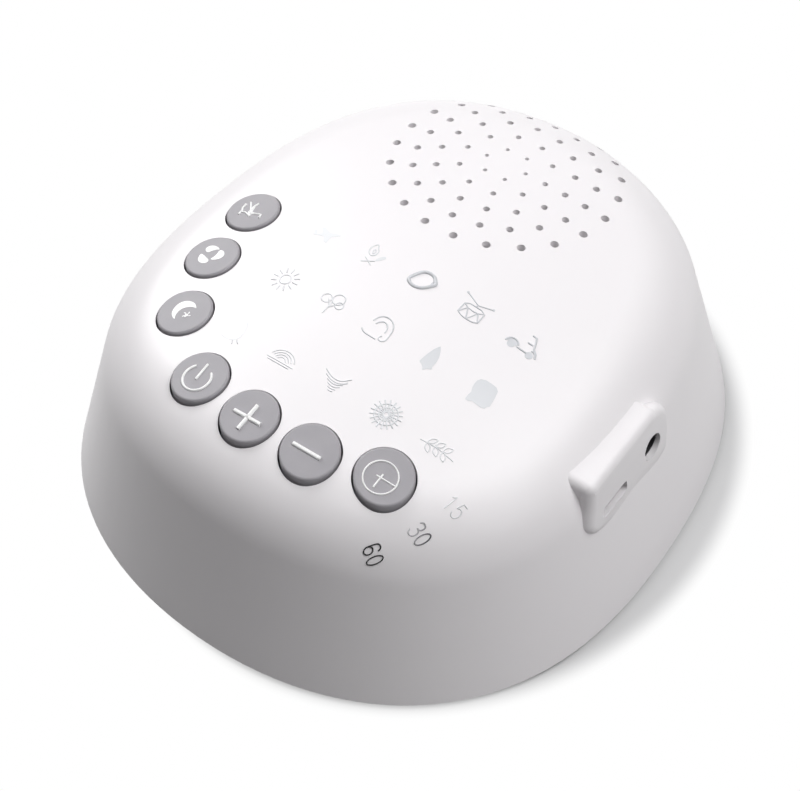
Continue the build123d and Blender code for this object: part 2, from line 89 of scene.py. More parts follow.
class Finish:
    def __init__(self, name, tree=None):
        if tree is None:
            self.material = bpy.data.materials.new(name)
            self.material.use_nodes = True
            tree = self.material.node_tree
        self.tree = tree
        self.tree.nodes.clear()

    def add(self, kind, settings, inputs, output=0):
        node = self.tree.nodes.new("ShaderNode" + kind)
        for key, value in settings.items():
            setattr(node, key, value)
        for key, value in inputs.items():
            if isinstance(value, Link):
                self.tree.links.new(value.socket, node.inputs[key])
            else:
                node.inputs[key].default_value = value
        return Link(self, node.outputs[output]) if node.outputs else node

    def place(self):
        return self.add("TexCoord", {}, {}, "Object")

    def part(self, vector, axis):
        return self.add("SeparateXYZ", {}, {"Vector": vector}, axis)

    def noise(self, vector, scale, detail=2.0, rough=0.5):
        values = {"Vector": vector, "Scale": scale, "Detail": detail, "Roughness": rough}
        return self.add("TexNoise", {}, values, "Fac")

    def spread(self, value, low, high, toLow=0.0, toHigh=1.0):
        values = {"Value": value, "From Min": low, "From Max": high, "To Min": toLow, "To Max": toHigh}
        return self.add("MapRange", {"interpolation_type": "SMOOTHSTEP"}, values)

    def mix(self, share, first, second):
        first = first if isinstance(first, Link) else (*first, 1.0)
        second = second if isinstance(second, Link) else (*second, 1.0)
        return self.add("Mix", {"data_type": "RGBA"}, {"Factor": share, 6: first, 7: second}, 2)

    def bump(self, height, strength, distance):
        return self.add("Bump", {}, {"Height": height, "Strength": strength, "Distance": distance})

    def surface(self, values):
        shader = self.add("BsdfPrincipled", {}, values)
        self.add("OutputMaterial", {}, {"Surface": shader})
        return self.material


def moulded(name, values):
    # two close tones in slow clouds, and a fine spark texture that breaks up the gloss
    finish = Finish(name)
    place = finish.place()
    clouds = finish.noise(place, values["cloudScale"], 3.0)
    grain = finish.noise(place, values["grainScale"], 2.0, 0.6)
    tone = finish.mix(finish.spread(clouds, 0.3, 0.7), values["colour"], values["second"])
    rough = (grain - 0.5) * values["roughSpread"] + values["rough"]
    return finish.surface({
        "Base Color": tone, "Roughness": rough, "Metallic": values.get("metal", 0.0),
        "Coat Weight": values.get("coat", 0.0), "Coat Roughness": values.get("coatRough", 0.1),
        "Specular IOR Level": values.get("specular", 0.5),
        "Normal": finish.bump(grain, values["bump"], values["bumpDepth"]),
    })


def brushed(name, values):
    # metal with fine drawn lines along one axis
    finish = Finish(name)
    place = finish.place()
    drawn = finish.add("Mapping", {}, {"Vector": place, "Scale": values["stretch"]})
    lines = finish.noise(drawn, values["lineScale"], 3.0, 0.7)
    clouds = finish.noise(place, values["cloudScale"], 2.0)
    tone = finish.mix(finish.spread(lines, 0.25, 0.75), values["colour"], values["second"])
    rough = (clouds - 0.5) * values["roughSpread"] + values["rough"]
    return finish.surface({
        "Base Color": tone, "Roughness": rough, "Metallic": 1.0,
        "Normal": finish.bump(lines, values["bump"], values["bumpDepth"]),
    })


def woven(name, values):
    # speaker cloth: two crossing sets of threads
    finish = Finish(name)
    place = finish.place()
    turns = 2 * math.pi / values["threadPitch"]
    warp = finish.add("Math", {"operation": "SINE"}, {0: finish.part(place, "X") * turns})
    weft = finish.add("Math", {"operation": "SINE"}, {0: finish.part(place, "Y") * turns})
    weave = warp * weft * 0.5 + 0.5
    clouds = finish.noise(place, values["cloudScale"], 3.0)
    tone = finish.mix(weave * 0.7 + clouds * 0.3, values["colour"], values["second"])
    return finish.surface({
        "Base Color": tone, "Roughness": clouds * 0.1 + values["rough"],
        "Normal": finish.bump(weave, values["bump"], values["bumpDepth"]),
    })


def laminated(name, values):
    # solder mask over copper tracks, which show as faint lighter lines
    finish = Finish(name)
    place = finish.place()
    pitch = values["trackPitch"]
    waves = [finish.add("Math", {"operation": "SINE"}, {0: finish.part(place, axis) * (2 * math.pi / pitch)})
             for axis in "XY"]
    areas = finish.noise(place, values["areaScale"], 0.0)
    along = finish.spread(areas, 0.49, 0.51)
    tracks = finish.spread(waves[0] * along + waves[1] * (1 - along), 0.55, 0.75)
    tone = finish.mix(tracks, values["colour"], values["second"])
    return finish.surface({
        "Base Color": tone, "Roughness": tracks * -0.08 + values["rough"], "Specular IOR Level": 0.5,
        "Normal": finish.bump(tracks, values["bump"], values["bumpDepth"]),
    })


# every CAD node keeps its shape and gets a finish through its material slot

finishes = {
    "shell_white": (moulded, {
        "colour": (0.885, 0.862, 0.878), "second": (0.872, 0.848, 0.866), "cloudScale": 22.0, "rough": 0.36,
        "roughSpread": 0.10, "grainScale": 1500.0, "bump": 0.05, "bumpDepth": 0.00003, "specular": 0.42,
    }),
    "cover_white": (moulded, {
        "colour": (0.86, 0.84, 0.85), "second": (0.84, 0.82, 0.83), "cloudScale": 25.0, "rough": 0.55,
        "roughSpread": 0.12, "grainScale": 1400.0, "bump": 0.25, "bumpDepth": 0.00008,
    }),
    "button_grey": (moulded, {
        "colour": (0.375, 0.362, 0.385), "second": (0.355, 0.343, 0.367), "cloudScale": 160.0, "rough": 0.52,
        "roughSpread": 0.14, "grainScale": 2600.0, "bump": 0.16, "bumpDepth": 0.00005,
    }),
    "foot_rubber": (moulded, {
        "colour": (0.30, 0.30, 0.31), "second": (0.26, 0.26, 0.27), "cloudScale": 200.0, "rough": 0.8,
        "roughSpread": 0.1, "grainScale": 1800.0, "bump": 0.4, "bumpDepth": 0.0001,
    }),
    "switch_black": (moulded, {
        "colour": (0.035, 0.035, 0.037), "second": (0.028, 0.028, 0.03), "cloudScale": 300.0, "rough": 0.45,
        "roughSpread": 0.1, "grainScale": 2400.0, "bump": 0.2, "bumpDepth": 0.00005,
    }),
    "plunger_white": (moulded, {
        "colour": (0.78, 0.77, 0.74), "second": (0.74, 0.73, 0.70), "cloudScale": 400.0, "rough": 0.42,
        "roughSpread": 0.1, "grainScale": 2400.0, "bump": 0.1, "bumpDepth": 0.00004,
    }),
    "socket_black": (moulded, {
        "colour": (0.03, 0.03, 0.032), "second": (0.022, 0.022, 0.024), "cloudScale": 300.0, "rough": 0.4,
        "roughSpread": 0.12, "grainScale": 2200.0, "bump": 0.2, "bumpDepth": 0.00005,
    }),
    "chip_black": (moulded, {
        "colour": (0.032, 0.033, 0.036), "second": (0.024, 0.024, 0.027), "cloudScale": 500.0, "rough": 0.6,
        "roughSpread": 0.15, "grainScale": 3500.0, "bump": 0.4, "bumpDepth": 0.00005,
    }),
    "capacitor_sleeve": (moulded, {
        "colour": (0.03, 0.035, 0.07), "second": (0.04, 0.045, 0.09), "cloudScale": 300.0, "rough": 0.25,
        "roughSpread": 0.08, "grainScale": 1500.0, "bump": 0.1, "bumpDepth": 0.00004, "coat": 0.4,
    }),
    "led_white": (moulded, {
        "colour": (0.85, 0.84, 0.72), "second": (0.82, 0.80, 0.62), "cloudScale": 900.0, "rough": 0.3,
        "roughSpread": 0.1, "grainScale": 3000.0, "bump": 0.1, "bumpDepth": 0.00003,
    }),
    "plug_white": (moulded, {
        "colour": (0.76, 0.75, 0.70), "second": (0.72, 0.71, 0.66), "cloudScale": 300.0, "rough": 0.5,
        "roughSpread": 0.1, "grainScale": 2000.0, "bump": 0.15, "bumpDepth": 0.00005,
    }),
    "cone_paper": (moulded, {
        "colour": (0.055, 0.052, 0.048), "second": (0.085, 0.080, 0.072), "cloudScale": 420.0, "rough": 0.9,
        "roughSpread": 0.1, "grainScale": 1300.0, "bump": 0.6, "bumpDepth": 0.00015,
    }),
    "surround_rubber": (moulded, {
        "colour": (0.03, 0.03, 0.03), "second": (0.04, 0.04, 0.04), "cloudScale": 300.0, "rough": 0.6,
        "roughSpread": 0.1, "grainScale": 2000.0, "bump": 0.2, "bumpDepth": 0.00005,
    }),
    "battery_foil": (moulded, {
        "colour": (0.72, 0.72, 0.73), "second": (0.62, 0.62, 0.64), "cloudScale": 90.0, "rough": 0.32,
        "roughSpread": 0.2, "grainScale": 500.0, "bump": 0.35, "bumpDepth": 0.0001, "metal": 0.85,
    }),
    "lead_red": (moulded, {
        "colour": (0.55, 0.025, 0.02), "second": (0.48, 0.02, 0.018), "cloudScale": 400.0, "rough": 0.4,
        "roughSpread": 0.1, "grainScale": 2500.0, "bump": 0.1, "bumpDepth": 0.00004,
    }),
    "lead_black": (moulded, {
        "colour": (0.03, 0.03, 0.03), "second": (0.022, 0.022, 0.022), "cloudScale": 400.0, "rough": 0.42,
        "roughSpread": 0.1, "grainScale": 2500.0, "bump": 0.1, "bumpDepth": 0.00004,
    }),
    "magnet_grey": (moulded, {
        "colour": (0.09, 0.09, 0.095), "second": (0.07, 0.07, 0.075), "cloudScale": 250.0, "rough": 0.5,
        "roughSpread": 0.2, "grainScale": 1600.0, "bump": 0.35, "bumpDepth": 0.00008,
    }),
    "bright_steel": (brushed, {
        "colour": (0.66, 0.65, 0.63), "second": (0.56, 0.55, 0.54), "stretch": (1.0, 12.0, 12.0),
        "lineScale": 300.0, "cloudScale": 500.0, "rough": 0.3, "roughSpread": 0.15, "bump": 0.15,
        "bumpDepth": 0.00003,
    }),
    "screw_steel": (brushed, {
        "colour": (0.58, 0.57, 0.56), "second": (0.48, 0.47, 0.46), "stretch": (1.0, 1.0, 20.0),
        "lineScale": 400.0, "cloudScale": 700.0, "rough": 0.35, "roughSpread": 0.2, "bump": 0.2,
        "bumpDepth": 0.00004,
    }),
    "basket_steel": (brushed, {
        "colour": (0.46, 0.46, 0.46), "second": (0.38, 0.38, 0.38), "stretch": (1.0, 1.0, 8.0),
        "lineScale": 200.0, "cloudScale": 200.0, "rough": 0.42, "roughSpread": 0.15, "bump": 0.15,
        "bumpDepth": 0.00004,
    }),
    "coil_copper": (brushed, {
        "colour": (0.72, 0.33, 0.16), "second": (0.60, 0.25, 0.11), "stretch": (1.0, 1.0, 40.0),
        "lineScale": 200.0, "cloudScale": 500.0, "rough": 0.35, "roughSpread": 0.1, "bump": 0.5,
        "bumpDepth": 0.00006,
    }),
    "speaker_cloth": (woven, {
        "colour": (0.035, 0.033, 0.028), "second": (0.12, 0.115, 0.10), "threadPitch": 0.0006,
        "cloudScale": 300.0, "rough": 0.85, "bump": 0.6, "bumpDepth": 0.0001,
    }),
    "board_green": (laminated, {
        "colour": (0.015, 0.10, 0.045), "second": (0.03, 0.17, 0.08), "trackPitch": 0.0013,
        "areaScale": 120.0, "rough": 0.38, "bump": 0.3, "bumpDepth": 0.00004,
    }),
}

slotOfNode = {entry["node"]: entry["material_slot"] for entry in frame["record"]["subparts"]}

made = {}
for nodeName, node in nodes.items():
    slotName = slotOfNode[nodeName]
    if slotName not in made:
        makeFinish, values = finishes[slotName]
        made[slotName] = makeFinish(slotName, values)
    if not node.material_slots:
        node.data.materials.append(made[slotName])
    for slot in node.material_slots:
        slot.material = made[slotName]
print("finishes:", len(made))


# prints and signs: flat drawings in millimetres, laid on the surface below them

def clearSelection():
    for item in bpy.context.view_layer.objects:
        item.select_set(False)


def makeActive(items):
    clearSelection()
    for item in items:
        item.select_set(True)
    bpy.context.view_layer.objects.active = items[0]


def arc(x, y, radius, start, end, steps=14, flat=1.0):
    angles = [math.radians(start + (end - start) * step / steps) for step in range(steps + 1)]
    return [(x + radius * math.cos(angle), y + radius * flat * math.sin(angle)) for angle in angles]


def turn(points, angle, x=0.0, y=0.0):
    c, s = math.cos(math.radians(angle)), math.sin(math.radians(angle))
    return [(x + c * px - s * py, y + s * px + c * py) for px, py in points]


def lens(length, width, bulge=0.5, steps=8):
    # a pointed leaf from the origin along +Y, its widest place at the given share of its length
    rise = [step / steps for step in range(steps + 1)]
    side = [math.sin(math.pi * share ** (math.log(0.5) / math.log(bulge))) for share in rise]
    right = [(width / 2 * across, length * share) for share, across in zip(rise, side)]
    return right + [(-x, y) for x, y in reversed(right[1:-1])]


def finely(outline, closed, step=0.4):
    # the same line with more points, so that it can follow a domed surface
    ends = outline[1:] + outline[:1] if closed else outline[1:]
    points = []
    for (x, y), (nextX, nextY) in zip(outline, ends):
        count = max(1, math.ceil(math.hypot(nextX - x, nextY - y) / step))
        points += [(x + (nextX - x) * part / count, y + (nextY - y) * part / count) for part in range(count)]
    return points if closed else points + outline[-1:]


def addCurve(name, outlines, closed, smooth, values):
    curve = bpy.data.curves.new(name, "CURVE")
    curve.resolution_u = 5
    for key, value in values.items():
        setattr(curve, key, value)
    for outline in outlines:
        outline = outline if smooth else finely(outline, closed)
        spline = curve.splines.new("NURBS" if smooth else "POLY")
        spline.points.add(len(outline) - 1)
        spline.use_cyclic_u = closed
        spline.use_endpoint_u = not closed
        spline.order_u = 3
        for point, (x, y) in zip(spline.points, outline):
            point.co = (x * mm, y * mm, 0.0, 1.0)
    piece = bpy.data.objects.new(name, curve)
    bpy.context.scene.collection.objects.link(piece)
    return piece


inkValues = {"thick": 0.014, "lift": 0.03, "roundness": 1}


def drawSign(name, drawing):
    width = drawing.get("width", 0.3) * mm
    smooth = drawing.get("smooth", False)
    parts = []
    if drawing.get("lines"):
        parts.append(addCurve(name, drawing["lines"], False, smooth, {
            "dimensions": "3D", "bevel_depth": width / 2, "bevel_resolution": inkValues["roundness"],
            "use_fill_caps": True,
        }))
    if drawing.get("loops"):
        parts.append(addCurve(name, drawing["loops"], True, smooth, {
            "dimensions": "3D", "bevel_depth": width / 2, "bevel_resolution": inkValues["roundness"],
        }))
    for part in parts:
        part.scale = (1.0, 1.0, 2 * inkValues["thick"] * mm / width)
    for outline in drawing.get("fills", []):
        parts.append(addCurve(name, [outline], True, smooth, {
            "dimensions": "2D", "fill_mode": "BOTH", "extrude": inkValues["thick"] * mm,
        }))
    makeActive(parts)
    bpy.ops.object.transform_apply(location=False, rotation=False, scale=True)
    bpy.ops.object.convert(target="MESH")
    if len(parts) > 1:
        bpy.ops.object.join()
    piece = bpy.context.view_layer.objects.active
    piece.name = name
    return piece


surfaces = {}


def surfaceOf(nodeName):
    if nodeName not in surfaces:
        surfaces[nodeName] = BVHTree.FromObject(nodes[nodeName], bpy.context.evaluated_depsgraph_get())
    return surfaces[nodeName]


def layOn(piece, nodeName, x, y, angle=0.0, lean=0.0):
    # turns the flat drawing into the plane that touches the surface under its middle, then lets
    # every corner down onto the surface, square to that plane
    below = surfaceOf(nodeName)
    spot, up = below.ray_cast(Vector((x, y, 1.0)), Vector((0.0, 0.0, -1.0)))[:2]
    right = Vector((math.cos(math.radians(angle)), math.sin(math.radians(angle)), 0.0))
    right.z = -right.dot(up) / up.z
    right.normalize()
    back = up.cross(right)
    for corner in piece.data.vertices:
        flat = spot + right * (corner.co.x + lean * corner.co.y) + back * corner.co.y
        hit = below.ray_cast(flat + up * 0.01, -up)[0]
        corner.co = hit + up * (corner.co.z + inkValues["lift"] * mm)
    piece.data.update()


def finishPiece(piece, material, body):
    piece.data.materials.clear()
    piece.data.materials.append(material)
    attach(piece, body)


def middleOf(nodeName):
    low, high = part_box(nodeName)
    return [(low[axis] + high[axis]) / 2 for axis in range(3)]


# port pad plate: its face leans out to meet the flared wall below jack and slot. It is drawn flat,
# X along the pad and Y up its face, in millimetres from the origin given

plateValues = {
    "origin": (47.2, 0.0, 30.2), "lean": 8.8, "rounding": 1.6, "roundingSteps": 4, "curveSteps": 8,
    "jackRadius": 2.45, "slotLength": 7.2, "slotHeight": 2.4, "slotCorner": 0.8, "shift": (-0.25, 0.35),
    "cutDepth": 4.0, "sharpAngle": 35.0, "outline": [
        (-17.8, 1.5), (-17.9, -2.0), (-18.3, -4.5), (-19.0, -7.6), (-17.0, -10.4), (-12.0, -11.6),
        (-6.0, -11.8), (0.0, -11.8), (4.0, -11.6), (6.2, -10.0), (6.4, -7.0), (6.4, -4.0), (6.0, -1.2),
        (4.6, 0.6), (2.8, 1.5), (-4.0, 1.5), (-16.0, 1.5),
    ],
}


def asMesh(curveObject):
    makeActive([curveObject])
    bpy.ops.object.convert(target="MESH")
    return bpy.context.view_layer.objects.active


def weld(piece):
    # joins the faces of a converted curve into one closed skin
    makeActive([piece])
    bpy.ops.object.mode_set(mode="EDIT")
    bpy.ops.mesh.select_all(action="SELECT")
    bpy.ops.mesh.remove_doubles(threshold=1e-6)
    bpy.ops.mesh.normals_make_consistent(inside=False)
    bpy.ops.object.mode_set(mode="OBJECT")


def cutAway(piece, cutter):
    weld(cutter)
    change = piece.modifiers.new("opening", "BOOLEAN")
    change.operation = "DIFFERENCE"
    change.solver = "EXACT"
    change.object = cutter
    makeActive([piece])
    bpy.ops.object.modifier_apply(modifier=change.name)
    bpy.data.objects.remove(cutter)


def standUp(piece, depth):
    lean = math.radians(plateValues["lean"])
    along = Vector((0.0, 1.0, 0.0))
    rise = Vector((-math.sin(lean), 0.0, math.cos(lean)))
    out = along.cross(rise)
    pose = Matrix((along, rise, out)).transposed().to_4x4()
    pose.translation = Vector(plateValues["origin"]) * mm + out * depth * mm
    piece.data.transform(pose)


def onPlate(nodeName):
    # the drawing's place for the opening in front of a CAD node
    originY, originZ = plateValues["origin"][1:]
    shiftY, shiftZ = plateValues["shift"]
    y, z = [part / mm for part in middleOf(nodeName)[1:]]
    return y + shiftY - originY, (z + shiftZ - originZ) / math.cos(math.radians(plateValues["lean"]))


def roundedSlot(x, y):
    corner = plateValues["slotCorner"]
    across = plateValues["slotLength"] / 2 - corner
    up = plateValues["slotHeight"] / 2 - corner
    quarters = ((0, 1, 1), (90, -1, 1), (180, -1, -1), (270, 1, -1))
    return [point for start, sideX, sideY in quarters
            for point in arc(x + sideX * across, y + sideY * up, corner, start, start + 90, 6)]


rounding = plateValues["rounding"]
plate = asMesh(addCurve("portPlate", [plateValues["outline"]], True, True, {
    "dimensions": "2D", "fill_mode": "BOTH", "bevel_depth": rounding * mm,
    "bevel_resolution": plateValues["roundingSteps"], "offset": -rounding * mm,
    "resolution_u": plateValues["curveSteps"],
}))
weld(plate)
jackHole = arc(*onPlate("audio_jack"), plateValues["jackRadius"], 0, 352, 44)
for outline in (jackHole, roundedSlot(*onPlate("usb_socket_shell"))):
    cutAway(plate, asMesh(addCurve("opening", [outline], True, False, {
        "dimensions": "2D", "fill_mode": "BOTH", "extrude": plateValues["cutDepth"] * mm,
    })))
standUp(plate, -rounding)
makeActive([plate])
bpy.ops.object.shade_smooth_by_angle(angle=math.radians(plateValues["sharpAngle"]))
finishPiece(plate, made["shell_white"], "housing")

# black collar round the jack's nose, drawn flat and turned to face +X

collarValues = {"outer": 2.86, "inner": 1.8, "from": 45.2, "to": 47.35}
jackY, jackZ = [part / mm for part in middleOf("audio_jack")[1:]]
halfDepth = (collarValues["to"] - collarValues["from"]) / 2
rings = [
    arc(jackY, jackZ, collarValues["outer"], 0, 352, 44),
    arc(jackY, jackZ, collarValues["inner"], 0, 350, 35),
]
collar = asMesh(addCurve("jackCollar", rings, True, False, {
    "dimensions": "2D", "fill_mode": "BOTH", "extrude": halfDepth * mm,
}))
faceRight = Matrix(((0, 0, 1, 0), (1, 0, 0, 0), (0, 1, 0, 0), (0, 0, 0, 1)))
collar.data.transform(Matrix.Translation(((collarValues["from"] + halfDepth) * mm, 0.0, 0.0)) @ faceRight)
finishPiece(collar, made["socket_black"], "housing")
print("port pad plate and jack collar")


# white symbols on the push-buttons

buttonSigns = {
    "power_button": {"width": 0.58, "lines": [
        arc(-0.18, -0.54, 2.4, 131, 410, 30), [(-0.26, 2.38), (-0.2, -0.85)],
    ]},
    "volume_up_button": {"width": 0.95, "lines": [
        [(0.02, 2.05), (0.0, -2.9)], [(-2.6, -0.55), (2.6, -0.42)],
    ]},
    "volume_down_button": {"width": 0.95, "lines": [[(-2.9, -0.52), (2.2, -0.2)]]},
    "timer_button": {
        "width": 0.36, "loops": [arc(-0.25, -0.56, 2.74, 0, 351, 39)],
        "lines": [[(-1.0, -0.68), (2.5, -0.4)], [(-0.26, 0.05), (-0.2, -2.5)]],
    },
    "moon_button": {"smooth": True, "fills": [
        [(1.55, 1.3), (1.3, 1.55), (0.75, 2.0), (-0.1, 2.2), (-1.2, 1.95), (-2.05, 1.2), (-2.3, 0.0),
         (-2.0, -1.2), (-1.25, -1.9), (-0.65, -2.15), (-0.4, -2.1), (-0.75, -1.7), (-1.0, -0.9),
         (-0.95, -0.1), (-0.5, 0.6), (0.2, 1.1), (0.9, 1.3)],
        [point for step in range(5) for point in (
            *turn([(-0.16, 0.8), (0.16, 0.8)], 72 * step, 0.9, -0.57),
            *turn([(0.0, 0.38)], 72 * step - 36, 0.9, -0.57))],
    ]},
    "fan_button": {"smooth": True, "fills": [
        [(-2.4, 0.8), (-2.3, 1.5), (-1.7, 2.05), (-0.8, 2.15), (0.0, 1.95), (0.3, 1.7), (-0.3, 1.5),
         (-0.8, 1.0), (-1.2, 0.4), (-1.7, 0.3)],
        [(0.3, 1.6), (0.9, 1.8), (1.6, 1.5), (2.1, 0.8), (1.9, 0.0), (1.2, -0.6), (0.5, -0.85), (0.2, -0.7),
         (0.5, -0.1), (0.55, 0.7)],
        [(-2.4, -0.4), (-1.7, -0.45), (-0.8, -0.75), (0.0, -1.0), (0.3, -1.4), (0.1, -1.95), (-0.7, -2.25),
         (-1.5, -2.1), (-2.1, -1.5)],
    ]},
    "bird_button": {"width": 0.46, "lines": [
        [(-2.4, 0.9), (-2.35, -0.2), (-2.0, -0.7), (-1.85, -1.9)], [(-2.0, -1.15), (-1.0, -0.95), (0.4, -1.5)],
        [(-1.9, 1.6), (-1.2, 0.8), (-0.5, -0.1), (-0.3, -1.1)], [(-0.2, 1.9), (-0.5, 0.9), (-0.4, 0.0)],
        [(-0.4, -0.5), (0.7, -0.55), (2.2, -0.35), (2.4, -1.2)], [(-0.3, -1.2), (0.4, -0.8), (1.2, -0.5)],
    ], "fills": [[(-0.9, 0.5), (-0.2, 0.9), (0.1, -0.4), (0.5, -1.4), (-0.1, -1.4), (-0.6, -0.6)]]},
}

signInk = moulded("signInk", {
    "colour": (0.95, 0.95, 0.95), "second": (0.93, 0.93, 0.93), "cloudScale": 900.0, "rough": 0.45,
    "roughSpread": 0.1, "grainScale": 4000.0, "bump": 0.1, "bumpDepth": 0.00001,
})

for buttonName, drawing in buttonSigns.items():
    sign = drawSign(buttonName.replace("button", "sign"), drawing)
    middle = middleOf(buttonName)
    layOn(sign, buttonName, middle[0], middle[1])
    finishPiece(sign, signInk, buttonName)
print("button signs:", len(buttonSigns))


# silver pictograms in three rows of five, one for each sound

gridValues = {"width": 0.26, "places": [
    (-14.95, -4.23), (-5.04, -4.44), (5.02, -4.42), (14.91, -4.2), (24.77, -3.77),
    (-14.57, -15.97), (-4.72, -16.12), (5.29, -16.06), (15.13, -15.82), (24.95, -15.41),
    (-14.1, -28.31), (-4.33, -28.38), (5.63, -28.29), (15.42, -28.03), (25.2, -27.63),
]}

sunRay = [(0.0, 1.5), (0.0, 2.5)]
seedStalk = [(0.0, 0.5), (0.0, 2.6)]
leafJoints = ((-2.0, -0.3), (-0.6, -0.1), (0.8, -0.1))

